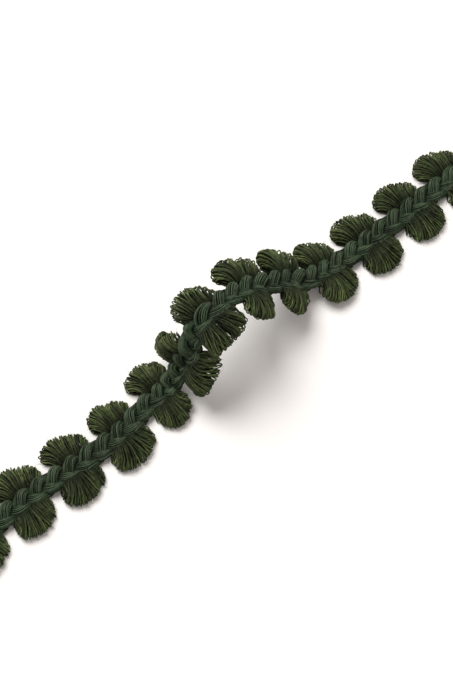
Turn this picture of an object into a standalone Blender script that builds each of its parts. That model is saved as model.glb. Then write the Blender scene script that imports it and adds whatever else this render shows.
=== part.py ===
"""Festoon braid trim: a plait of three yarn bundles with a fan of yarn loops on each side.

The trim lies along +X on the floor, lifts off it in one uneven hump and lies down again.
Every piece is set out in trim coordinates, which follow that line:
    along   the distance from the left cut end, measured on the trim
    across  the distance from the middle of the plait, positive towards +Y
    up      the distance from the underside of the trim
The fans are closed solids of their own, parted from the plait by a thin gap.
"""

import math
import random
from dataclasses import dataclass

import bmesh
import bpy
from mathutils import Vector

MM = 0.001

# Driving sizes of the trim
REPEAT = 12.8 * MM  # one scallop, from neck to neck
REPEATS = 13
LENGTH = REPEAT * REPEATS
PLAIT_HALF_WIDTH = 2.4 * MM  # at the plumpest place of a lump
PLAIT_WAIST = 0.25 * MM  # how far the edge draws in between two lumps
PLAIT_SHOULDER = 1.15 * MM  # height of the plait's widest line
PLAIT_CROWN = 2.6 * MM  # top of a lump over the underside
LUMPS_PER_REPEAT = 3
LUMP_RIDGE = 0.75 * MM  # how deep the valleys between two lumps are
CHEVRON = 0.95  # slant of the lumps, along for each across
ROWS_PER_LUMP = 4
CUT_END = 3.0 * MM  # stretch over which the lumps square off at a cut end
TOP_SHARES = (0.78, 0.4, 0.0, -0.4, -0.78)  # places over the top, as shares of the half width
UNDER_SHARES = (-0.8, 0.0, 0.8)

GAP = 0.3 * MM  # between the plait and a fan's root
ROOT_INNER = PLAIT_HALF_WIDTH + GAP
ROOT_OUTER = ROOT_INNER + 0.6 * MM
ROOT_TOP = 1.5 * MM
ROOT_HALF_LENGTH = 4.6 * MM
FAN_REACH = 8.0 * MM  # from the middle of the plait to the rim
LOCKS = 11
CELL = 2 * ROOT_HALF_LENGTH / LOCKS  # stretch of root that one lock grows from
LOCK_PART = 0.16 * MM  # clear space between two neighbouring locks at the root
TIP_FILL = 0.7  # share of the space between two tips that a lock fills
LOBE_SPLAY = 1.13  # how much wider a lobe is at its rim than at its root
LOBE_SHARE = 0.45  # how far out a lobe's round rim is centred
LOBE_DRIFT = 0.88  # how far a lobe's rim follows the middle of its root
LOBE_FULLNESS = 0.7  # under 1 the rim is squarer than an ellipse
LOBE_SWING = 76.0  # degrees to the outermost lock on each side of the lobe
STEP_REACH = 0.49  # reach of the step lock beside the lobe, as a share of the fan's
STEP_FALL = 0.13  # how much shorter each further step lock is
STEP_LEAN = 0.45 * MM  # how far each further step lock leans away from the lobe
REACH_SPREAD = 0.06  # how much shorter the smallest fans are
SWAY = 0.35 * MM
STAGGER = (0.8 * MM, -0.65 * MM)  # lead of the left fans at the first and the last repeat
FAN_SIDES = (("left", 1, 0, 3), ("right", -1, 1, 2))  # name, side, step locks before and after
VARIETY_SEED = 7

# A lock's rings on its way out: how far out, underside, top, share of its full width
LOCK_RINGS = (
    (0.45, 0.0 * MM, 2.5 * MM, 1.0),
    (0.84, 0.0 * MM, 2.1 * MM, 1.0),
    (1.00, 0.35 * MM, 1.2 * MM, 0.65),
)
BEND_ALONG = 0.3  # where a lock's bend lies between its root and its tip
BEND_ACROSS = 0.6

# Where the trim's left cut end stands, so that the middle of its box is the origin
START_X = -74.351 * MM
START_Y = -1.716 * MM

PATH_STEP = 0.1 * MM  # step of the walk that turns the table below into a line

# Lie of the trim: repeat reached, height off the floor (mm), shift towards +Y (mm), lean (deg)
LIE_COLUMNS = ("at", "height", "aside", "lean")
LIE_ROWS = (
    (0.0, 0.0, 0.5, 0.0),
    (1.5, 0.0, 0.7, 0.0),
    (2.5, 0.0, -0.1, 0.0),
    (3.25, 0.0, -0.5, 0.0),
    (4.25, 0.0, 1.2, 0.0),
    (4.5, 0.1, 1.25, 0.0),
    (5.0, 4.2, 1.4, 0.0),
    (5.5, 9.9, 1.4, 0.0),
    (6.0, 15.5, 2.4, -3.0),
    (6.5, 19.9, 2.6, -3.0),
    (7.0, 17.7, 3.6, 0.0),
    (7.5, 14.6, 3.8, 3.0),
    (8.0, 10.9, 2.9, 8.0),
    (8.5, 6.4, 2.6, 10.0),
    (9.0, 3.2, 0.9, 5.0),
    (9.5, 0.6, 0.5, 0.0),
    (10.0, 0.0, 0.2, 0.0),
    (10.5, 0.0, 0.1, 0.0),
    (13.0, 0.0, 0.3, 0.0),
)


def column(name):
    """Returns the knots of one column of the lie table as two lists."""
    pick = LIE_COLUMNS.index(name)
    return [row[0] for row in LIE_ROWS], [row[pick] for row in LIE_ROWS]


def knot_slopes(places, values):
    """Slopes of a smooth line through the knots that never overshoots them."""
    steps = [(v1 - v0) / (p1 - p0) for p0, p1, v0, v1 in
             zip(places, places[1:], values, values[1:])]
    slopes = [0.0]
    for before, after in zip(steps, steps[1:]):
        flat = before * after <= 0.0
        slopes.append(0.0 if flat else 2.0 * before * after / (before + after))
    return slopes + [0.0]


def smooth_value(places, values, slopes, at):
    """Value of the smooth line at one place, by cubic Hermite pieces."""
    at = min(max(at, places[0]), places[-1])
    piece = max(i for i, place in enumerate(places[:-1]) if place <= at)
    width = places[piece + 1] - places[piece]
    t = (at - places[piece]) / width
    return ((1 + 2 * t) * (1 - t) ** 2 * values[piece]
            + t * (1 - t) ** 2 * width * slopes[piece]
            + t * t * (3 - 2 * t) * values[piece + 1]
            + t * t * (t - 1) * width * slopes[piece + 1])


class TrimLine:
    """The line that the underside of the plait follows, with its directions."""

    def __init__(self):
        knots = {}
        for name in LIE_COLUMNS[1:]:
            places, values = column(name)
            knots[name] = (places, values, knot_slopes(places, values))
        self.knots = knots
        self.points = []
        count = round(LENGTH / PATH_STEP)
        forward = START_X
        for step in range(count + 1):
            along = step * PATH_STEP
            height = self.lie("height", along) * MM
            aside = START_Y + self.lie("aside", along) * MM
            if self.points:
                last = self.points[-1]
                rise = height - last.z
                swing = aside - last.y
                forward += math.sqrt(PATH_STEP ** 2 - rise ** 2 - swing ** 2)
            self.points.append(Vector((forward, aside, height)))

    def lie(self, name, along):
        """One column of the lie table at a distance along the trim."""
        return smooth_value(*self.knots[name], along / REPEAT)

    def point(self, along):
        """The line's point, carried straight on past either end."""
        place = along / PATH_STEP
        low = min(max(int(place), 0), len(self.points) - 2)
        return self.points[low].lerp(self.points[low + 1], place - low)

    def place(self, along, across, up):
        """World position of a point given in trim coordinates."""
        probe = 4 * PATH_STEP
        tangent = (self.point(along + probe) - self.point(along - probe)).normalized()
        side = Vector((0.0, 0.0, 1.0)).cross(tangent).normalized()
        normal = tangent.cross(side)
        lean = math.radians(self.lie("lean", along))
        leant_side = side * math.cos(lean) + normal * math.sin(lean)
        leant_normal = normal * math.cos(lean) - side * math.sin(lean)
        return self.point(along) + leant_side * across + leant_normal * up


@dataclass(frozen=True)
class Lock:
    """One bundle of loops in a fan: its cell on the root, its tip and its width there."""

    cell: int
    tip: Vector
    tip_width: float


def clear_scene():
    """Removes whatever the scene holds."""
    for obj in list(bpy.data.objects):
        bpy.data.objects.remove(obj, do_unlink=True)


def yarn_material(name, colour, roughness):
    """A matt dyed yarn."""
    material = bpy.data.materials.new(name)
    material.use_nodes = True
    shader = material.node_tree.nodes["Principled BSDF"]
    shader.inputs["Base Color"].default_value = (*colour, 1.0)
    shader.inputs["Roughness"].default_value = roughness
    shader.inputs["Metallic"].default_value = 0.0
    return material


def add_object(name, mesh_data, collection, material):
    """Turns a bmesh into a named object with its material."""
    bmesh.ops.recalc_face_normals(mesh_data, faces=mesh_data.faces)
    mesh = bpy.data.meshes.new(name)
    mesh_data.to_mesh(mesh)
    mesh_data.free()
    mesh.materials.append(material)
    mesh.shade_smooth()
    mesh.set_sharp_from_angle(angle=math.radians(50.0))
    obj = bpy.data.objects.new(name, mesh)
    collection.objects.link(obj)
    return obj


def bridge(mesh_data, rings):
    """Joins a list of equal rings of vertices and closes both ends."""
    for near, far in zip(rings, rings[1:]):
        for here in range(len(near)):
            there = (here + 1) % len(near)
            mesh_data.faces.new((near[here], near[there], far[there], far[here]))
    mesh_data.faces.new(rings[0])
    mesh_data.faces.new(rings[-1])


def lump_height(row, across):
    """How far a place on the plait stands up within its lump, from 0 to 1.

    The two columns of lumps are set half a lump apart, as a plait of three lays them.
    """
    half_lump = 0.0 if across >= 0.0 else 0.5
    return abs(math.cos(math.pi * (row / ROWS_PER_LUMP + half_lump)))


def plait_ring(row, line):
    """One ring of the plait's surface, slanted along its chevrons.

    Args:
        row: Number of the ring from the left cut end.
        line: The trim's line.
    """
    rows = REPEATS * LUMPS_PER_REPEAT * ROWS_PER_LUMP
    square = row / rows * LENGTH
    end_fade = min(1.0, square / CUT_END, (LENGTH - square) / CUT_END)
    slant = CHEVRON * end_fade
    middle = CHEVRON * PLAIT_HALF_WIDTH / 2  # keeps the chevrons centred on their row

    def spot(share, up, half_width):
        across = share * half_width
        along = square + slant * abs(across) - end_fade * middle
        return line.place(along, across, up)

    widths = {}
    for side in (1, -1):
        plump = lump_height(row, side)
        widths[side] = PLAIT_HALF_WIDTH - PLAIT_WAIST * (1.0 - plump)
    ring = [spot(1.0, PLAIT_SHOULDER, widths[1])]
    for share in TOP_SHARES:
        dome = math.sqrt(1.0 - share * share)
        plump = lump_height(row, share) if share else 0.5
        top = PLAIT_SHOULDER + (PLAIT_CROWN - PLAIT_SHOULDER) * dome
        side = 1 if share >= 0.0 else -1
        ring.append(spot(share, top - LUMP_RIDGE * (1.0 - plump), widths[side]))
    ring.append(spot(-1.0, PLAIT_SHOULDER, widths[-1]))
    for share in UNDER_SHARES:
        ring.append(spot(share, 0.0, PLAIT_HALF_WIDTH))
    return ring


def build_plait(line, collection, material):
    """The heading: two columns of slanting lumps over a flat underside."""
    data = bmesh.new()
    rings = []
    for row in range(REPEATS * LUMPS_PER_REPEAT * ROWS_PER_LUMP + 1):
        ring = plait_ring(row, line)
        rings.append([data.verts.new(point) for point in ring])
    bridge(data, rings)
    return add_object("plait", data, collection, material)


def fan_locks(before, after, reach, sway):
    """Sets out the locks of one fan: a round main lobe and short steps beside it.

    Args:
        before: Number of short locks at the lobe's left end.
        after: Number of short locks at its right end.
        reach: Distance from the middle of the plait to the rim.
        sway: How far the lobe's tips drift along the trim.
    """
    main = LOCKS - before - after
    middle = -ROOT_HALF_LENGTH + CELL * (before + main / 2)
    half_lobe = CELL * main / 2 * LOBE_SPLAY
    lobe_base = ROOT_OUTER + LOBE_SHARE * (reach - ROOT_OUTER)
    tips = []
    for number in range(LOCKS):
        if before <= number < LOCKS - after:
            share = (number - before + 0.5) / main
            angle = math.radians(LOBE_SWING * (2 * share - 1))
            tip_along = middle * LOBE_DRIFT + sway + half_lobe * math.sin(angle)
            tip_across = lobe_base + (reach - lobe_base) * math.cos(angle) ** LOBE_FULLNESS
        else:
            step = before - number if number < before else number - (LOCKS - after) + 1
            way = -1 if number < before else 1
            tip_along = -ROOT_HALF_LENGTH + CELL * (number + 0.5) + way * STEP_LEAN * (step + 1)
            tip_across = ROOT_OUTER + (reach - ROOT_OUTER) * (STEP_REACH - STEP_FALL * (step - 1))
        tips.append(Vector((tip_along, tip_across)))
    spaces = [(far - near).length for near, far in zip(tips, tips[1:])]
    widths = [TIP_FILL * min(pair) for pair in zip(spaces[:1] + spaces, spaces + spaces[-1:])]
    return [Lock(*row) for row in zip(range(LOCKS), tips, widths)]


def lock_ring(lock, share, low, high, fill):
    """The four corners of a lock, in trim coordinates, part of the way out to its tip.

    Args:
        lock: The lock.
        share: How far out the ring is, from 0 at the root to 1 at the tip.
        low: Height of the lock's underside there.
        high: Height of its top.
        fill: Its width there, as a share of the full one.
    """
    root = Vector((-ROOT_HALF_LENGTH + CELL * (lock.cell + 0.5), ROOT_OUTER))
    way = lock.tip - root
    bend = root + Vector((BEND_ALONG * way.x, BEND_ACROSS * way.y))
    centre = root * (1 - share) ** 2 + bend * 2 * share * (1 - share) + lock.tip * share ** 2
    heading = ((bend - root) * (1 - share) + (lock.tip - bend) * share).normalized()
    sideways = Vector((heading.y, -heading.x))
    width = fill * ((CELL - LOCK_PART) * (1 - share) + lock.tip_width * share)
    corners = []
    for way, up in ((-1, low), (1, low), (1, high), (-1, high)):
        edge = centre + sideways * (way * width / 2)
        corners.append((edge.x, edge.y, up))
    return corners


def build_fan(name, middle, side, locks, line, collection, material):
    """One fan: a root strip along the plait's edge with its locks growing out of it.

    Args:
        name: Name of the object.
        middle: Distance along the trim of the fan's middle.
        side: 1 on the +Y side, -1 on the other.
        locks: The fan's locks.
        line: The trim's line.
        collection: Collection for the object.
        material: Its finish.
    """
    data = bmesh.new()
    section = ((ROOT_INNER, 0.0), (ROOT_OUTER, 0.0), (ROOT_OUTER, ROOT_TOP), (ROOT_INNER, ROOT_TOP))

    def vert(along, across, up):
        return data.verts.new(line.place(middle + along, side * across, up))

    rings = []
    for edge in range(LOCKS + 1):
        along = -ROOT_HALF_LENGTH + CELL * edge
        rings.append([vert(along, across, up) for across, up in section])
    bridge(data, rings)
    for lock in locks:
        near, far = rings[lock.cell], rings[lock.cell + 1]
        corners = {near[1], far[1], far[2], near[2]}
        root_face = next(face for face in near[1].link_faces if set(face.verts) == corners)
        data.faces.remove(root_face)
        last = [near[1], far[1], far[2], near[2]]
        for lock_section in LOCK_RINGS:
            ring = [vert(*corner) for corner in lock_ring(lock, *lock_section)]
            for here in range(4):
                there = (here + 1) % 4
                data.faces.new((last[here], last[there], ring[there], ring[here]))
            last = ring
        data.faces.new(last)
    return add_object(name, data, collection, material)


def build_fans(line, collection, material):
    """All the fans: left ones with one low step, right ones with a step at each end."""
    chance = random.Random(VARIETY_SEED)
    for number in range(REPEATS):
        share = number / (REPEATS - 1)
        lead = STAGGER[0] * (1 - share) + STAGGER[1] * share
        for word, side, before, after in FAN_SIDES:
            reach = FAN_REACH * chance.uniform(1.0 - REACH_SPREAD, 1.0)
            sway = chance.uniform(-SWAY, SWAY)
            locks = fan_locks(before, after, reach, sway)
            middle = (number + 0.5) * REPEAT + side * lead
            name = f"fan_{word}_{number + 1:02d}"
            build_fan(name, middle, side, locks, line, collection, material)


def main():
    """Builds the whole trim."""
    clear_scene()
    collection = bpy.data.collections.new("festoon_braid_trim")
    bpy.context.scene.collection.children.link(collection)
    line = TrimLine()
    plait_yarn = yarn_material("plait_yarn", (0.028, 0.047, 0.022), 0.85)
    fan_yarn = yarn_material("fan_yarn", (0.036, 0.054, 0.020), 0.8)
    build_plait(line, collection, plait_yarn)
    build_fans(line, collection, fan_yarn)


main()
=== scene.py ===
"""Looks of the festoon braid trim: every yarn of its plait and of its loop fans, on a pale floor.

The yarns are set out in trim coordinates, which follow the line that the trim lies on:
    along   the distance from the left cut end, measured on the trim
    across  the distance from the middle of the plait, positive on the left fans' side
    up      the distance from the underside of the trim
"""

import logging
import math
import random
from dataclasses import dataclass, field
from enum import Enum

import bpy
import numpy as np
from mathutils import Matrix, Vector


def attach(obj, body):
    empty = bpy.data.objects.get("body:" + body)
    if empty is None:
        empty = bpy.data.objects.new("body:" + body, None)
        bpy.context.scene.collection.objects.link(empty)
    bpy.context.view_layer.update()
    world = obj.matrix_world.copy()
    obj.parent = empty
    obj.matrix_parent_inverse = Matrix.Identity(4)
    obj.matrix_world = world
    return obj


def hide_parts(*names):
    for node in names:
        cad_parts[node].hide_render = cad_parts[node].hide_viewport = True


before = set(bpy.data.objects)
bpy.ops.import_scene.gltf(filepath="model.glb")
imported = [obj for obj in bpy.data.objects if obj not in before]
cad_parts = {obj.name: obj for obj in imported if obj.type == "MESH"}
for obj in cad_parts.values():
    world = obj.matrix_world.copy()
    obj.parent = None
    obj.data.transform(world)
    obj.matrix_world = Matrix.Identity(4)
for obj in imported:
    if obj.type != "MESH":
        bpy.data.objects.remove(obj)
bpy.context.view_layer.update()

LOG = logging.getLogger("trim")
MM = 0.001

# Sizes that the trim's solids are built from
REPEAT = 12.8 * MM
REPEATS = 13
LENGTH = REPEAT * REPEATS
START_X = -74.351 * MM
START_Y = -1.716 * MM
PATH_STEP = 0.1 * MM
PLAIT_EDGE = 2.4 * MM
ROOT_OUTER = 3.3 * MM
ROOT_HALF_LENGTH = 4.6 * MM
FAN_REACH = 8.0 * MM
REACH_SPREAD = 0.06
SWAY = 0.35 * MM
STAGGER = (0.8 * MM, -0.65 * MM)
VARIETY_SEED = 7

# Lie of the trim: repeat reached, height off the floor (mm), shift towards +Y (mm), lean (deg)
LIE_COLUMNS = ("at", "height", "aside", "lean")
LIE_ROWS = (
    (0.0, 0.0, 0.5, 0.0),
    (1.5, 0.0, 0.7, 0.0),
    (2.5, 0.0, -0.1, 0.0),
    (3.25, 0.0, -0.5, 0.0),
    (4.25, 0.0, 1.2, 0.0),
    (4.5, 0.1, 1.25, 0.0),
    (5.0, 4.2, 1.4, 0.0),
    (5.5, 9.9, 1.4, 0.0),
    (6.0, 15.5, 2.4, -3.0),
    (6.5, 19.9, 2.6, -3.0),
    (7.0, 17.7, 3.6, 0.0),
    (7.5, 14.6, 3.8, 3.0),
    (8.0, 10.9, 2.9, 8.0),
    (8.5, 6.4, 2.6, 10.0),
    (9.0, 3.2, 0.9, 5.0),
    (9.5, 0.6, 0.5, 0.0),
    (10.0, 0.0, 0.2, 0.0),
    (10.5, 0.0, 0.1, 0.0),
    (13.0, 0.0, 0.3, 0.0),
)


class Side(Enum):
    """The side of the plait that a fan stands on, as the sign of its across."""

    LEFT = 1
    RIGHT = -1


class TrimLine:
    """The line that the underside of the plait follows, with its directions."""

    def __init__(self) -> None:
        """Walks the lie table once, in steps of equal length."""
        along = np.arange(round(LENGTH / PATH_STEP) + 1) * PATH_STEP
        height = self.lie("height", along) * MM
        aside = START_Y + self.lie("aside", along) * MM
        rise, swing = np.diff(height), np.diff(aside)
        forward = np.sqrt(PATH_STEP ** 2 - rise ** 2 - swing ** 2)
        ahead = START_X + np.concatenate([[0.0], np.cumsum(forward)])
        self.along = along
        self.points = np.stack([ahead, aside, height], axis=1)

    def lie(self, name: str, along: np.ndarray) -> np.ndarray:
        """One column of the lie table at distances along the trim.

        Args:
            name: The column's name.
            along: Distances from the left cut end.

        Returns:
            The column's smooth values there, which never overshoot the table's rows.
        """
        rows = np.array(LIE_ROWS)
        places, values = rows[:, 0], rows[:, LIE_COLUMNS.index(name)]
        steps = np.diff(values) / np.diff(places)
        before, after = steps[:-1], steps[1:]
        turning = before * after <= 0.0
        total = np.where(turning, 1.0, before + after)
        inner = np.where(turning, 0.0, 2.0 * before * after / total)
        slopes = np.concatenate([[0.0], inner, [0.0]])
        at = np.clip(np.asarray(along, float) / REPEAT, places[0], places[-1])
        piece = np.clip(np.searchsorted(places, at, side="right") - 1, 0, len(places) - 2)
        width = places[piece + 1] - places[piece]
        t = (at - places[piece]) / width
        return ((1 + 2 * t) * (1 - t) ** 2 * values[piece]
                + t * (1 - t) ** 2 * width * slopes[piece]
                + t * t * (3 - 2 * t) * values[piece + 1]
                + t * t * (t - 1) * width * slopes[piece + 1])

    def point(self, along: np.ndarray) -> np.ndarray:
        """Points of the line at distances along it, one row each."""
        return np.stack([np.interp(along, self.along, self.points[:, axis]) for axis in range(3)], axis=1)

    def place(self, spots: np.ndarray) -> np.ndarray:
        """World positions of points given in trim coordinates.

        Args:
            spots: Rows of along, across and up.

        Returns:
            Rows of x, y and z.
        """
        along, across, up = spots.T
        probe = 4 * PATH_STEP
        near = np.clip(along, probe, LENGTH - probe)
        tangent = self.point(near + probe) - self.point(near - probe)
        tangent /= np.linalg.norm(tangent, axis=1)[:, None]
        side = np.cross([0.0, 0.0, 1.0], tangent)
        side /= np.linalg.norm(side, axis=1)[:, None]
        normal = np.cross(tangent, side)
        lean = np.radians(self.lie("lean", along))[:, None]
        leant_side = side * np.cos(lean) + normal * np.sin(lean)
        leant_normal = normal * np.cos(lean) - side * np.sin(lean)
        past = (along - np.clip(along, 0.0, LENGTH))[:, None]
        return (self.point(along) + tangent * past
                + leant_side * across[:, None] + leant_normal * up[:, None])


@dataclass
class YarnRuns:
    """The centre lines of many yarns, gathered before they get their thickness."""

    points: list[np.ndarray] = field(default_factory=list)
    thickness: list[np.ndarray] = field(default_factory=list)
    rim: list[np.ndarray] = field(default_factory=list)
    tint: list[float] = field(default_factory=list)

    def add(self, points: np.ndarray, rim: np.ndarray, tint: float, thickness: np.ndarray) -> None:
        """Adds one yarn.

        Args:
            points: Its centre line in world coordinates.
            rim: Each point's share of painted light, from 0 to 1: low values get painted shade, high values
                the painted highlight of the rim colour.
            tint: The yarn's shade, from 0 to 1: its own tone at random, darker as painted shade where it
                lies low or inside the plait.
            thickness: The yarn's thickness at each point, as a share of the usual one.
        """
        self.points.append(points)
        self.rim.append(rim)
        self.tint.append(tint)
        self.thickness.append(thickness)

    def mesh(self, name: str) -> bpy.types.Mesh:
        """Returns the centre lines as a mesh of edges with their attributes."""
        counts = [len(run) for run in self.points]
        starts = np.concatenate([[0], np.cumsum(counts)[:-1]])
        edges = np.concatenate([np.stack([np.arange(count - 1), np.arange(1, count)], axis=1) + start
                                for start, count in zip(starts, counts)])
        every = np.concatenate(self.points)
        mesh = bpy.data.meshes.new(name)
        mesh.vertices.add(len(every))
        mesh.vertices.foreach_set("co", every.astype(np.float32).ravel())
        mesh.edges.add(len(edges))
        mesh.edges.foreach_set("vertices", edges.astype(np.int32).ravel())
        travelled = [np.concatenate([[0.0], np.cumsum(np.linalg.norm(np.diff(run, axis=0), axis=1))])
                     for run in self.points]
        values = {
            "thickness": np.concatenate(self.thickness),
            # Each point's share of painted light, which the material turns into painted shade and painted
            # highlight.
            "rim": np.concatenate(self.rim),
            "tint": np.repeat(self.tint, counts),
            "travelled": np.concatenate(travelled) / MM,
        }
        for label, numbers in values.items():
            layer = mesh.attributes.new(label, "FLOAT", "POINT")
            layer.data.foreach_set("value", numbers.astype(np.float32))
        mesh.update()
        return mesh


@dataclass(frozen=True)
class YarnFinish:
    """Matt dyed cotton yarn of two twisted plies.

    Colours are linear. The rim colour is a painted highlight where a fan's loops turn towards the light,
    and the deep colour is painted shade among the yarns and in the ply grooves.
    """

    name: str
    # painted shade colour, for yarns deep among the others and in the ply grooves
    painted_shade_colour: tuple[float, float, float]
    body: tuple[float, float, float]
    # painted highlight colour, where the yarns turn towards the light
    rim: tuple[float, float, float]
    roughness: float = 0.6
    sheen: float = 0.03
    shine: float = 0.14
    warm: tuple[float, float, float] = (0.030, 0.020, 0.012)  # a browner colour, mixed in at random patches
    warm_share: float = 0.3
    depth_shade: float = 0.12  # painted shade: how much of its colour a yarn keeps deep among the others
    ply_pitch_mm: float = 1.1
    ply_depth: float = 0.05 * MM
    fibre_scale: float = 2600.0

    def material(self) -> bpy.types.Material:
        """Builds the material from the yarns' own attributes."""
        material = bpy.data.materials.new(self.name)
        material.use_nodes = True
        nodes, links = material.node_tree.nodes, material.node_tree.links
        shader = nodes["Principled BSDF"]
        shader.inputs["Roughness"].default_value = self.roughness
        shader.inputs["Sheen Weight"].default_value = self.sheen
        shader.inputs["Sheen Roughness"].default_value = 0.45
        shader.inputs["Sheen Tint"].default_value = (0.75, 0.95, 0.6, 1.0)
        shader.inputs["Specular IOR Level"].default_value = self.shine

        def attribute(label: str) -> bpy.types.Node:
            """An attribute that the sweep leaves on the yarns."""
            node = nodes.new("ShaderNodeAttribute")
            node.attribute_name = label
            return node

        def maths(kind: str, first: object, second: object = None) -> bpy.types.NodeSocket:
            """One Math node; a number is set on the socket and a socket is linked."""
            node = nodes.new("ShaderNodeMath")
            node.operation = kind
            for slot, value in enumerate((first, second)):
                if isinstance(value, bpy.types.NodeSocket):
                    links.new(value, node.inputs[slot])
                elif value is not None:
                    node.inputs[slot].default_value = value
            return node.outputs[0]

        def blend(share: object, first: object, second: object) -> bpy.types.NodeSocket:
            """A mix of two colours."""
            node = nodes.new("ShaderNodeMix")
            node.data_type = "RGBA"
            sockets = (node.inputs["Factor"], node.inputs[6], node.inputs[7])
            for socket, value in zip(sockets, (share, first, second)):
                if isinstance(value, bpy.types.NodeSocket):
                    links.new(value, socket)
                else:
                    socket.default_value = value if isinstance(value, float) else (*value, 1.0)
            return node.outputs[2]

        coordinates = nodes.new("ShaderNodeTexCoord").outputs["Object"]
        fibres = nodes.new("ShaderNodeTexNoise")
        fibres.inputs["Scale"].default_value = self.fibre_scale
        fibres.inputs["Detail"].default_value = 3.0
        links.new(coordinates, fibres.inputs["Vector"])
        patches = nodes.new("ShaderNodeTexNoise")
        patches.inputs["Scale"].default_value = 260.0
        links.new(coordinates, patches.inputs["Vector"])

        ring = nodes.new("ShaderNodeSeparateXYZ")
        links.new(attribute("ring").outputs["Vector"], ring.inputs[0])
        around = maths("ARCTAN2", ring.outputs["Y"], ring.outputs["X"])
        turns = maths("MULTIPLY", attribute("travelled").outputs["Fac"], 2 * math.pi / self.ply_pitch_mm)
        ply = maths("SINE", maths("ADD", maths("MULTIPLY", around, 2.0), turns))
        groove = maths("MULTIPLY_ADD", ply, 0.5)
        groove.node.inputs[2].default_value = 0.5

        streaks = nodes.new("ShaderNodeTexNoise")
        streaks.inputs["Scale"].default_value = 900.0
        streaks.inputs["Detail"].default_value = 1.0
        links.new(coordinates, streaks.inputs["Vector"])
        streak = maths("MULTIPLY_ADD", streaks.outputs["Fac"], 2.2)
        streak.node.inputs[2].default_value = -0.1
        # The yarn's tone: random streaks and tint, darker as painted shade in the low layers and inside the
        # plait.
        own = maths("MULTIPLY", attribute("tint").outputs["Fac"], streak)
        # The rim attribute is each point's share of painted light.
        rim = attribute("rim").outputs["Fac"]
        open_share = maths("MINIMUM", maths("MULTIPLY", rim, 1.8), 1.0)
        # Painted shade: points with little painted light (roots, ways back beneath, undersides,
        # under-crossings) are darkened towards the deep colour.
        painted_shade_factor = maths("MULTIPLY_ADD", open_share, 1.0 - self.depth_shade)
        painted_shade_factor.node.inputs[2].default_value = self.depth_shade
        yarn = blend(maths("MULTIPLY", own, painted_shade_factor), self.painted_shade_colour, self.body)
        # Painted highlight: the rim colour where the painted light is high.
        painted_highlight_share = maths("MULTIPLY", maths("POWER", rim, 1.6), own)
        lit = blend(painted_highlight_share, yarn, self.rim)
        # A browner colour, mixed in at random patches.
        brown_patches = maths("MULTIPLY_ADD", patches.outputs["Fac"], 3.0)
        brown_patches.node.inputs[2].default_value = -1.35
        brown_patches.node.use_clamp = True
        dyed = blend(maths("MULTIPLY", brown_patches, self.warm_share), lit, self.warm)
        # Painted shade in the ply grooves.
        groove_shaded = blend(maths("MULTIPLY", groove, 0.35), dyed, self.painted_shade_colour)
        links.new(groove_shaded, shader.inputs["Base Color"])

        relief = maths("MULTIPLY_ADD", fibres.outputs["Fac"], 0.35)
        links.new(maths("SUBTRACT", 1.0, groove), relief.node.inputs[2])
        bump = nodes.new("ShaderNodeBump")
        bump.inputs["Strength"].default_value = 0.8
        bump.inputs["Distance"].default_value = self.ply_depth
        links.new(relief, bump.inputs["Height"])
        links.new(bump.outputs["Normal"], shader.inputs["Normal"])
        return material


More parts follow.
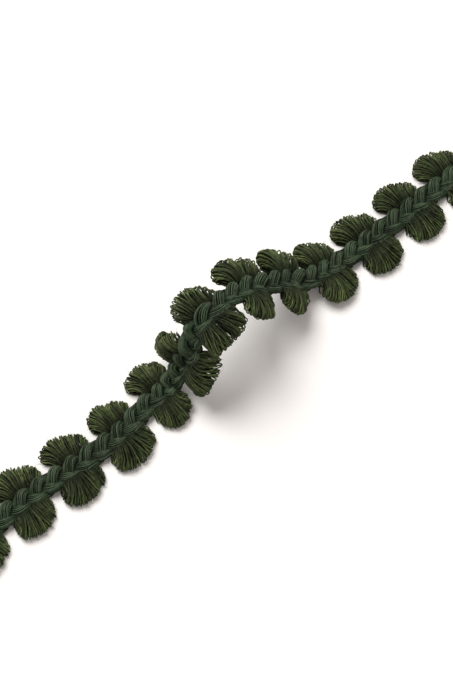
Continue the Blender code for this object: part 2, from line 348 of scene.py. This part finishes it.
@dataclass
class YarnSweep:
    """Gives centre lines their round yarn, by one node tree that every piece shares."""

    radius: float = 0.2 * MM
    sides: int = 6
    tree: bpy.types.NodeTree = field(init=False)

    def __post_init__(self) -> None:
        """Builds the node tree, with its sizes as named inputs."""
        tree = bpy.data.node_groups.new("yarn_sweep", "GeometryNodeTree")
        face = tree.interface
        face.new_socket("Geometry", in_out="INPUT", socket_type="NodeSocketGeometry")
        face.new_socket("Yarn Radius", in_out="INPUT", socket_type="NodeSocketFloat")
        face.new_socket("Yarn Sides", in_out="INPUT", socket_type="NodeSocketInt")
        face.new_socket("Yarn Finish", in_out="INPUT", socket_type="NodeSocketMaterial")
        face.new_socket("Geometry", in_out="OUTPUT", socket_type="NodeSocketGeometry")
        nodes, links = tree.nodes, tree.links
        given = nodes.new("NodeGroupInput")
        lines = nodes.new("GeometryNodeMeshToCurve")
        links.new(given.outputs["Geometry"], lines.inputs["Mesh"])
        circle = nodes.new("GeometryNodeCurvePrimitiveCircle")
        circle.inputs["Radius"].default_value = 1.0
        links.new(given.outputs["Yarn Sides"], circle.inputs["Resolution"])
        ring = nodes.new("GeometryNodeStoreNamedAttribute")
        ring.data_type = "FLOAT_VECTOR"
        ring.domain = "POINT"
        ring.inputs["Name"].default_value = "ring"
        links.new(circle.outputs["Curve"], ring.inputs["Geometry"])
        links.new(nodes.new("GeometryNodeInputPosition").outputs[0], ring.inputs["Value"])
        share = nodes.new("GeometryNodeInputNamedAttribute")
        share.inputs["Name"].default_value = "thickness"
        scale = nodes.new("ShaderNodeMath")
        scale.operation = "MULTIPLY"
        links.new(share.outputs[0], scale.inputs[0])
        links.new(given.outputs["Yarn Radius"], scale.inputs[1])
        sweep = nodes.new("GeometryNodeCurveToMesh")
        sweep.inputs["Fill Caps"].default_value = True
        links.new(lines.outputs["Curve"], sweep.inputs["Curve"])
        links.new(ring.outputs["Geometry"], sweep.inputs["Profile Curve"])
        links.new(scale.outputs[0], sweep.inputs["Scale"])
        smooth = nodes.new("GeometryNodeSetShadeSmooth")
        links.new(sweep.outputs["Mesh"], smooth.inputs["Geometry"])
        realize = nodes.new("GeometryNodeRealizeInstances")
        links.new(smooth.outputs["Geometry"], realize.inputs["Geometry"])
        finish = nodes.new("GeometryNodeSetMaterial")
        links.new(realize.outputs["Geometry"], finish.inputs["Geometry"])
        links.new(given.outputs["Yarn Finish"], finish.inputs["Material"])
        result = nodes.new("NodeGroupOutput")
        links.new(finish.outputs["Geometry"], result.inputs["Geometry"])
        self.tree = tree

    def piece(self, name: str, runs: YarnRuns, finish: bpy.types.Material) -> bpy.types.Object:
        """Sweeps one piece's yarns and returns it as a plain mesh object.

        Args:
            name: The piece's name.
            runs: Its centre lines.
            finish: Its material.

        Returns:
            The object, at the origin, with its place in its mesh.
        """
        guide = bpy.data.objects.new(name + "_lines", runs.mesh(name + "_lines"))
        bpy.context.scene.collection.objects.link(guide)
        modifier = guide.modifiers.new("yarn", "NODES")
        modifier.node_group = self.tree
        sockets = self.tree.interface.items_tree
        keys = {item.name: item.identifier for item in sockets if item.in_out == "INPUT"}
        modifier[keys["Yarn Radius"]] = self.radius
        modifier[keys["Yarn Sides"]] = self.sides
        modifier[keys["Yarn Finish"]] = finish
        depsgraph = bpy.context.evaluated_depsgraph_get()
        mesh = bpy.data.meshes.new_from_object(guide.evaluated_get(depsgraph))
        mesh.name = name
        bpy.data.objects.remove(guide, do_unlink=True)
        if not mesh.materials:
            mesh.materials.append(finish)
        obj = bpy.data.objects.new(name, mesh)
        bpy.context.scene.collection.objects.link(obj)
        return obj


CORE_PLACES = (-0.55, 0.0, 0.55)  # inner yarns that fill a bundle, as shares of its half width


@dataclass
class Plait:
    """The heading: three flat bundles of yarns, plaited over and under each other."""

    line: TrimLine
    sweep: YarnSweep
    finish: bpy.types.Material
    bundles: int = 3
    yarns: int = 16
    swing: float = 1.7 * MM  # how far a bundle's middle goes to each side
    steepness: float = 0.22  # how much faster it crosses over than it turns back
    lift: float = 0.62 * MM  # how far it rises over another bundle
    left_over: float = 0.4  # how much more the lumps that lead to the left lie on top
    mid_height: float = 1.25 * MM
    half_width: tuple[float, float] = (1.15 * MM, 0.7 * MM)  # at a crossing, and turning at the edge
    half_height: tuple[float, float] = (0.4 * MM, 0.86 * MM)  # pressed under a bundle, and lying over one
    fillers: int = 3  # straight thick yarns that the bundles are plaited round
    twist_length: float = 34.0 * MM
    core_thickness: float = 2.0
    step: float = 0.42 * MM
    seed: int = 21

    def add_bundle(self, bundle: int, runs: YarnRuns, chance: random.Random) -> None:
        """Adds one bundle's yarns: a ring of them around a thick core.

        Args:
            bundle: Its number.
            runs: Where the yarns go.
            chance: Source of the small differences between yarns.
        """
        along = np.linspace(0.0, LENGTH, round(LENGTH / self.step) + 1)
        phase = 2 * math.pi * (along / REPEAT + bundle / self.bundles)
        middle = self.swing * np.sin(phase + self.steepness * np.sin(2 * phase))
        height = self.mid_height + self.lift * (np.sin(2 * phase) + self.left_over * np.cos(phase))
        heading = np.arctan(np.gradient(middle, along))
        turning = np.sin(phase) ** 4
        over = np.clip(0.5 + 0.5 * np.sin(2 * phase - 0.3) + 0.2 * np.cos(phase), 0.0, 1.0)
        middle += 0.1 * MM * np.sin(along / (3.1 * MM) + 2.0 * bundle)
        wide = self.half_width[0] * (1 - turning) + self.half_width[1] * turning
        thick = self.half_height[0] * (1 - over) + self.half_height[1] * over
        for yarn in range(self.yarns + len(CORE_PLACES)):
            core = yarn >= self.yarns
            angle = 2 * math.pi * (yarn / self.yarns - along / self.twist_length + 0.3 * bundle)
            wander = 0.06 * MM * np.sin(along / (2.9 * MM) + chance.uniform(0, 2 * math.pi))
            sideways = wide * CORE_PLACES[yarn - self.yarns] if core else wide * np.cos(angle) + wander
            upward = 0.0 * along if core else thick * np.sin(angle)
            spots = np.stack([
                np.clip(along - sideways * np.sin(heading), 0.0, LENGTH),
                middle + sideways * np.cos(heading),
                height + upward,
            ], axis=1)
            size = self.core_thickness if core else chance.uniform(0.76, 0.9)
            # Painted light share: painted shade on each yarn's underside and where its bundle lies under
            # another, painted highlight on the lumps' tops; core yarns take full painted shade.
            outward = 0.0 * along if core else 0.5 + 0.5 * np.sin(angle)
            rim = outward * (0.08 + 0.92 * over)
            tint = 0.0 if core else chance.uniform(0.1, 1.0)
            runs.add(self.line.place(spots), rim, tint, np.full(len(along), size))

    def add_fillers(self, runs: YarnRuns) -> None:
        """Adds the straight yarns inside the plait, which close its openings."""
        along = np.linspace(0.0, LENGTH, round(LENGTH / (2 * self.step)) + 1)
        for number in range(self.fillers):
            across = (number - (self.fillers - 1) / 2) * 0.75 * MM
            spots = np.stack([along, np.full(len(along), across), np.full(len(along), 1.1 * MM)], axis=1)
            # The fillers take no painted light and the darkest tone, so they show the painted shade colour.
            runs.add(self.line.place(spots), np.zeros(len(along)), 0.0, np.full(len(along), 2.4))

    def build(self) -> list[bpy.types.Object]:
        """Builds the bundles, each a piece of its own."""
        chance = random.Random(self.seed)
        pieces = []
        for bundle in range(self.bundles):
            runs = YarnRuns()
            self.add_bundle(bundle, runs, chance)
            if bundle == 0:
                self.add_fillers(runs)
            piece = self.sweep.piece(f"plait_bundle_{bundle + 1}", runs, self.finish)
            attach(piece, "root")
            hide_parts("plait")
            LOG.info("%s: %d yarns, %d faces", piece.name, self.yarns, len(piece.data.polygons))
            pieces.append(piece)
        return pieces


@dataclass(frozen=True)
class Loop:
    """One yarn loop of a fan, in the fan's own trim coordinates.

    The yarn leaves the root, runs out over the fan, turns at the tip and comes back beneath.
    """

    root: tuple[float, float]
    tip: tuple[float, float]
    crown: float  # height of the way out at its highest
    rim: float  # its height at the tip
    floor: float  # height of the way back
    open_width: float  # sideways distance between the two ways at the tip
    bow: float  # sideways bend of the whole loop
    nose: float  # how far the turn goes past the tip
    root_height: float
    tint: float  # the yarn's shade, from 0 to 1: its own tone at random, darker as painted shade in the lower layers
    painted_light_share: float  # how much painted light it takes: more of the rim colour's painted highlight and less painted shade
    wave: float  # phase of its slight wave, in radians
    thickness: float  # as a share of the usual yarn's

    def centre_line(self, step: float) -> tuple[np.ndarray, np.ndarray]:
        """Works out the loop's path.

        Args:
            step: Distance between two points.

        Returns:
            Rows of along, across and up, and each point's share of painted light: rising from the root to
            the turn, and low on the way back beneath as painted shade.
        """
        root, tip = np.array(self.root), np.array(self.tip)
        way = tip - root
        bend = root + way * np.array([0.3, 0.62])
        count = max(6, round(float(np.linalg.norm(way)) / step))
        share = np.linspace(0.0, 1.0, count)
        near, far = (1 - share)[:, None], share[:, None]
        plan = root * near ** 2 + bend * 2 * near * far + tip * far ** 2
        heading = (bend - root) * near + (tip - bend) * far
        heading /= np.linalg.norm(heading, axis=1)[:, None]
        sideways = np.stack([heading[:, 1], -heading[:, 0]], axis=1)
        bow = self.bow * np.sin(math.pi * share) + 0.06 * MM * np.sin(7.5 * share + self.wave)
        apart = self.open_width * (0.2 + 0.8 * share ** 1.4) / 2
        chord = self.root_height * (1 - share) + self.rim * share
        rise = self.crown - (self.root_height * 0.55 + self.rim * 0.45)
        out_up = chord + rise * np.sin(math.pi * share ** 0.85) ** 0.9
        back_up = self.floor + (0.7 * self.root_height - self.floor) * (1 - share) ** 2
        out = np.column_stack([plan + sideways * (bow + apart)[:, None], out_up])
        back = np.column_stack([plan + sideways * (bow - apart)[:, None], back_up])
        angles = np.linspace(0.0, math.pi, 8)[1:-1, None]
        hub = (out[-1] + back[-1]) / 2
        arm = (out[-1] - back[-1]) / 2
        ahead = np.append(heading[-1], 0.0)
        turn = hub + arm * np.cos(angles) + ahead * self.nose * np.sin(angles)
        path = np.concatenate([out, turn, back[::-1]])
        # Painted light share: darker towards the root and on the way back beneath (painted shade), full at
        # the turn (painted highlight).
        rim = np.concatenate([share, np.linspace(1.0, 0.6, len(turn)), share[::-1] * 0.3])
        return path, rim * self.painted_light_share


@dataclass(frozen=True)
class LoopLayer:
    """One layer of loops in a fan's lobe; each pair holds the least and the most of a size."""

    loops: int
    reach: tuple[float, float]  # as a share of the fan's
    crown_mm: tuple[float, float]
    rim_mm: tuple[float, float]
    floor_mm: tuple[float, float]
    nose_mm: tuple[float, float]
    # the loops' tone range; the lower layers' darker ranges are painted shade
    tint: tuple[float, float]
    thickness: float  # as a share of the usual yarn's
    parts: float = 0.0  # how far the loops move aside for the partings


# The lower layers take darker tone ranges: painted shade for the loops that lie beneath.
LOBE_LAYERS = (
    LoopLayer(14, (0.78, 0.88), (0.9, 1.2), (0.6, 0.9), (0.18, 0.3), (0.25, 0.35), (0.0, 0.4), 1.15),
    LoopLayer(18, (0.87, 0.96), (1.8, 2.2), (1.2, 1.6), (0.25, 0.45), (0.4, 0.55), (0.0, 0.7), 0.95),
    LoopLayer(28, (0.95, 1.02), (2.7, 3.2), (1.8, 2.4), (0.4, 0.7), (0.65, 0.9), (0.1, 1.0), 0.76, 1.0),
)
STEP_LAYER = LoopLayer(10, (0.9, 1.08), (1.9, 2.6), (1.0, 1.7), (0.25, 0.5), (0.4, 0.6), (0.1, 1.0), 0.8)


@dataclass
class Fan:
    """One scallop: a round tuft of loops in layers, with a low tuft of shorter loops beside it."""

    side: Side
    number: int
    middle: float
    reach: float
    sway: float
    chance: random.Random
    steps_before: int
    steps_after: int
    swing_deg: float = 100.0
    pinch: float = 0.82  # width of the lobe's root as a share of its cells
    splay: float = 1.12  # width of its rim likewise
    part_width: float = 0.16 * MM
    drift: tuple[float, float] = (-0.3 * MM, -0.9 * MM)  # how far the roots and the rim lean back
    step: float = 0.5 * MM
    fibre_share: float = 0.45  # share of the loops with a stray fibre
    fibre_thickness: float = 0.16

    @property
    def name(self) -> str:
        """The name of the node that the fan stands for."""
        return f"fan_{self.side.name.lower()}_{self.number:02d}"

    @property
    def cell(self) -> float:
        """The stretch of root that one lock of the solid fan grows from."""
        return 2 * ROOT_HALF_LENGTH / 11

    def lobe_span(self) -> tuple[float, float]:
        """Where the lobe's root starts and ends, along the trim from the fan's middle."""
        first = -ROOT_HALF_LENGTH + self.cell * self.steps_before
        last = ROOT_HALF_LENGTH - self.cell * self.steps_after
        return first, last

    def loop(self, layer: LoopLayer, root_along: float, tip: tuple[float, float], flat: float) -> Loop:
        """One loop of a layer.

        Args:
            layer: The layer that it lies in.
            root_along: Where it leaves the root, along the trim from the fan's middle.
            tip: Where it turns, along and across.
            flat: How much lower it runs than the layer's usual loops, from 0 to 1.

        Returns:
            The loop.
        """
        jitter = self.chance.uniform
        return Loop(
            root=(root_along + jitter(-0.15, 0.15) * MM, PLAIT_EDGE - 0.6 * MM),
            tip=tip,
            crown=jitter(*layer.crown_mm) * MM * (1 - 0.3 * flat),
            rim=jitter(*layer.rim_mm) * MM * (1 - 0.25 * flat),
            floor=jitter(*layer.floor_mm) * MM,
            open_width=(0.1 + 0.35 * flat) * MM * jitter(0.2, 1.6),
            bow=jitter(-0.2, 0.2) * MM,
            nose=jitter(*layer.nose_mm) * MM,
            root_height=jitter(0.6, 0.75) * jitter(*layer.crown_mm) * MM,
            tint=jitter(*layer.tint),
            # Each loop takes a random share of the painted light.
            painted_light_share=jitter(0.35, 1.0),
            wave=jitter(0.0, 2 * math.pi),
            thickness=layer.thickness * jitter(0.88, 1.1),
        )

    def lobe_loops(self, layer: LoopLayer, partings: list[float]) -> list[Loop]:
        """The loops of one layer of the lobe, with their turns on a round rim.

        Args:
            layer: The layer.
            partings: Places in the lobe, from 0 to 1, where its loops move apart.

        Returns:
            The layer's loops, from the lobe's left end to its right end.
        """
        jitter = self.chance.uniform
        first, last = self.lobe_span()
        half, middle = (last - first) / 2, (first + last) / 2
        base = ROOT_OUTER + 0.26 * (self.reach - ROOT_OUTER)
        loops = []
        for number in range(layer.loops):
            share = (number + 0.5) / layer.loops
            inner = jitter(*layer.reach)
            angle = math.radians(self.swing_deg * (2 * share - 1) + jitter(-3.0, 3.0))
            out = math.copysign(abs(math.cos(angle)) ** 0.85, math.cos(angle))
            away = [share - parting for parting in partings]
            part = sum(math.copysign(math.exp(-(gap / 0.1) ** 2), gap) for gap in away)
            tip = (middle * 0.88 + self.sway + self.drift[1] + half * self.splay * inner * math.sin(angle)
                   + part * layer.parts * self.part_width,
                   base + (self.reach - layer.nose_mm[1] * MM - base) * out * inner
                   + jitter(-0.12, 0.12) * MM)
            root_along = middle + self.drift[0] + half * self.pinch * (2 * share - 1)
            loops.append(self.loop(layer, root_along, tip, abs(2 * share - 1) ** 3))
        return loops

    def step_loops(self, cells: int, start: float, way: int) -> list[Loop]:
        """The short loops beside the lobe, which round off towards the plait.

        Args:
            cells: Number of cells that the step covers.
            start: Where the step begins, along the trim from the fan's middle.
            way: 1 for a step at the right end, -1 at the left.

        Returns:
            The step's loops, the longest first.
        """
        jitter = self.chance.uniform
        count = STEP_LAYER.loops * cells // 2
        span = self.cell * cells
        loops = []
        for number in range(count):
            share = (number + 0.5) / count
            angle = math.radians(95.0 * share)
            reach = (0.6 * math.cos(angle) + 0.02) * (self.reach - ROOT_OUTER) * jitter(*STEP_LAYER.reach)
            tip = (start + self.drift[1] * 0.7 + way * span * 1.15 * math.sin(angle)
                   + jitter(-0.15, 0.15) * MM,
                   ROOT_OUTER + reach)
            root_along = start + self.drift[0] + way * (span * 0.8 * share - 0.7 * MM * (1 - share))
            loops.append(self.loop(STEP_LAYER, root_along, tip, share))
        return loops

    def loops(self) -> list[Loop]:
        """Every loop of the fan, the lowest layer first."""
        found = []
        partings = [self.chance.uniform(0.15, 0.45), self.chance.uniform(0.55, 0.85)]
        for layer in LOBE_LAYERS:
            found += self.lobe_loops(layer, partings)
        first, last = self.lobe_span()
        if self.steps_before:
            found += self.step_loops(self.steps_before, first, -1)
        if self.steps_after:
            found += self.step_loops(self.steps_after, last, 1)
        return found

    def add_fibres(self, spots: np.ndarray, line: TrimLine, runs: YarnRuns) -> None:
        """Adds the stray fibres that stand off one loop near the rim.

        Args:
            spots: The outer third of the loop, in trim coordinates.
            line: The trim's line.
            runs: Where the fibres go.
        """
        if self.chance.random() > self.fibre_share:
            return
        jitter = self.chance.uniform
        start = spots[self.chance.randrange(len(spots))]
        way = np.array([jitter(-1, 1), self.side.value * jitter(-0.2, 1), jitter(-0.3, 0.8)])
        curl = np.array([jitter(-1, 1), jitter(-1, 1), jitter(-0.8, 0.4)])
        share = np.linspace(0.0, 1.0, 5)[:, None]
        fibre = start + (way * share + curl * 0.7 * share ** 2) * jitter(0.5, 1.1) * MM
        fibre[:, 2] = np.maximum(fibre[:, 2], 0.06 * MM)
        # Stray fibres take much of the painted light, so they get painted highlight.
        runs.add(line.place(fibre), np.full(5, 0.8), 1.0, np.linspace(self.fibre_thickness, 0.06, 5))

    def build(self, line: TrimLine, sweep: YarnSweep, finish: bpy.types.Material) -> bpy.types.Object:
        """Builds the fan as one piece.

        Args:
            line: The trim's line.
            sweep: What gives the loops their yarn.
            finish: The yarn's material.

        Returns:
            The fan's object.
        """
        runs = YarnRuns()
        # Painted light: the left fans take all of the painted highlight and the right fans less, as the key
        # light stands on the left.
        painted_light_share = 1.0 if self.side is Side.LEFT else 0.85
        for loop in self.loops():
            path, rim = loop.centre_line(self.step)
            spots = path * np.array([1.0, self.side.value, 1.0]) + np.array([self.middle, 0.0, 0.0])
            runs.add(line.place(spots), rim * painted_light_share, loop.tint, np.full(len(path), loop.thickness))
            self.add_fibres(spots[len(spots) // 3:2 * len(spots) // 3], line, runs)
        piece = sweep.piece(self.name + "_loops", runs, finish)
        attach(piece, "root")
        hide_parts(self.name)
        LOG.info("%s: %d loops, %d faces", piece.name, len(runs.points), len(piece.data.polygons))
        return piece


@dataclass
class FanRow:
    """All the fans of the trim."""

    line: TrimLine
    sweep: YarnSweep
    finish: bpy.types.Material
    left_extra: float = 0.8 * MM  # how much longer the left fans' soft rims are than their solids
    right_extra: float = 0.9 * MM  # the same for the right fans

    def build(self) -> list[bpy.types.Object]:
        """Sets out each fan as its solid is set out, and builds it."""
        chance = random.Random(VARIETY_SEED)
        pieces = []
        for number in range(REPEATS):
            share = number / (REPEATS - 1)
            lead = STAGGER[0] * (1 - share) + STAGGER[1] * share
            for side, before, after in ((Side.LEFT, 0, 3), (Side.RIGHT, 1, 2)):
                reach = FAN_REACH * chance.uniform(1.0 - REACH_SPREAD, 1.0)
                reach += self.right_extra if side is Side.RIGHT else self.left_extra
                sway = chance.uniform(-SWAY, SWAY)
                fan = Fan(
                    side=side,
                    number=number + 1,
                    middle=(number + 0.5) * REPEAT + side.value * lead,
                    reach=reach,
                    sway=sway,
                    chance=random.Random(100 * number + side.value),
                    steps_before=before,
                    steps_after=after,
                )
                pieces.append(fan.build(self.line, self.sweep, self.finish))
        return pieces


@dataclass
class Studio:
    """The pale floor, the soft light and the camera at the photograph's angle."""

    turn_deg: float = 39.5  # the trim's own angle on the floor, seen from above
    elevation_deg: float = 67.5
    focal_mm: float = 100.0
    sensor_mm: float = 36.0
    frame_height: float = 151.8 * MM  # what the picture's height covers at the target
    target: tuple[float, float, float] = (1.73 * MM, 0.7 * MM, 0.0)
    key_elevation_deg: float = 60.0
    key_swing_deg: float = 42.0  # how far the key stands to the left of straight behind
    key_distance: float = 1.2
    key_size: float = 0.9
    key_power: float = 15.5
    ambient: float = 0.5
    ambient_colour: tuple[float, float, float] = (1.0, 0.93, 0.88)
    floor_size: float = 3.0

    def ground_axes(self) -> tuple[Vector, Vector]:
        """The picture's right and its way into the distance, on the floor."""
        turn = math.radians(self.turn_deg)
        return Vector((math.cos(turn), -math.sin(turn), 0.0)), Vector((math.sin(turn), math.cos(turn), 0.0))

    def camera(self) -> bpy.types.Object:
        """The camera, in the photograph's place."""
        elevation = math.radians(self.elevation_deg)
        away = self.ground_axes()[1]
        view = away * math.cos(elevation) + Vector((0.0, 0.0, -math.sin(elevation)))
        data = bpy.data.cameras.new("camera")
        data.lens = self.focal_mm
        data.sensor_width = self.sensor_mm
        data.sensor_fit = "AUTO"
        data.clip_start = 0.01
        data.clip_end = 20.0
        camera = bpy.data.objects.new("camera", data)
        bpy.context.scene.collection.objects.link(camera)
        distance = self.frame_height * self.focal_mm / self.sensor_mm
        camera.location = Vector(self.target) - view * distance
        camera.rotation_euler = view.to_track_quat("-Z", "Y").to_euler()
        bpy.context.scene.camera = camera
        return camera

    def key_light(self) -> bpy.types.Object:
        """One large soft light, behind the trim and a little to the left."""
        right, away = self.ground_axes()
        swing = math.radians(self.key_swing_deg)
        elevation = math.radians(self.key_elevation_deg)
        level = away * math.cos(swing) - right * math.sin(swing)
        toward = level * math.cos(elevation) + Vector((0.0, 0.0, math.sin(elevation)))
        data = bpy.data.lights.new("key", "AREA")
        data.shape = "DISK"
        data.size = self.key_size
        data.energy = self.key_power
        data.color = (1.0, 0.985, 0.96)
        light = bpy.data.objects.new("key", data)
        light.location = Vector(self.target) + toward * self.key_distance
        light.rotation_euler = toward.to_track_quat("Z", "Y").to_euler()
        bpy.context.scene.collection.objects.link(light)
        return light

    def floor(self) -> bpy.types.Object:
        """The pale floor."""
        material = bpy.data.materials.new("pale_floor")
        material.use_nodes = True
        shader = material.node_tree.nodes["Principled BSDF"]
        shader.inputs["Base Color"].default_value = (0.9, 0.89, 0.885, 1.0)
        shader.inputs["Roughness"].default_value = 0.9
        shader.inputs["Specular IOR Level"].default_value = 0.1
        half = self.floor_size / 2
        mesh = bpy.data.meshes.new("floor")
        corners = [(-half, -half, 0), (half, -half, 0), (half, half, 0), (-half, half, 0)]
        mesh.from_pydata(corners, [], [(0, 1, 2, 3)])
        mesh.materials.append(material)
        floor = bpy.data.objects.new("floor", mesh)
        bpy.context.scene.collection.objects.link(floor)
        return floor

    def world(self) -> None:
        """Even white light from all round."""
        world = bpy.data.worlds.new("world")
        world.use_nodes = True
        background = world.node_tree.nodes["Background"]
        background.inputs["Color"].default_value = (*self.ambient_colour, 1.0)
        background.inputs["Strength"].default_value = self.ambient
        bpy.context.scene.world = world

    def build(self) -> None:
        """Sets up the whole studio."""
        self.floor()
        self.key_light()
        self.world()
        self.camera()
        bpy.context.scene.view_settings.view_transform = "Standard"
        LOG.info("studio: camera %.0f mm, key %.0f W", self.focal_mm, self.key_power)


# Per finish: a painted shade colour, the yarn's own body colour, and a painted highlight colour (rim).
PLAIT_YARN = YarnFinish(
    name="plait_yarn",
    painted_shade_colour=(0.006, 0.012, 0.006),
    body=(0.060, 0.094, 0.052),
    rim=(0.086, 0.126, 0.074),
)
FAN_YARN = YarnFinish(
    name="fan_yarn",
    painted_shade_colour=(0.004, 0.007, 0.0025),
    body=(0.062, 0.096, 0.034),
    rim=(0.175, 0.215, 0.078),
)


def main() -> None:
    """Builds the trim's yarns and the studio."""
    logging.basicConfig(level=logging.INFO, format="%(message)s")
    line = TrimLine()
    sweep = YarnSweep()
    Plait(line=line, sweep=sweep, finish=PLAIT_YARN.material()).build()
    FanRow(line=line, sweep=sweep, finish=FAN_YARN.material()).build()
    Studio().build()


if __name__ == "__main__":
    main()
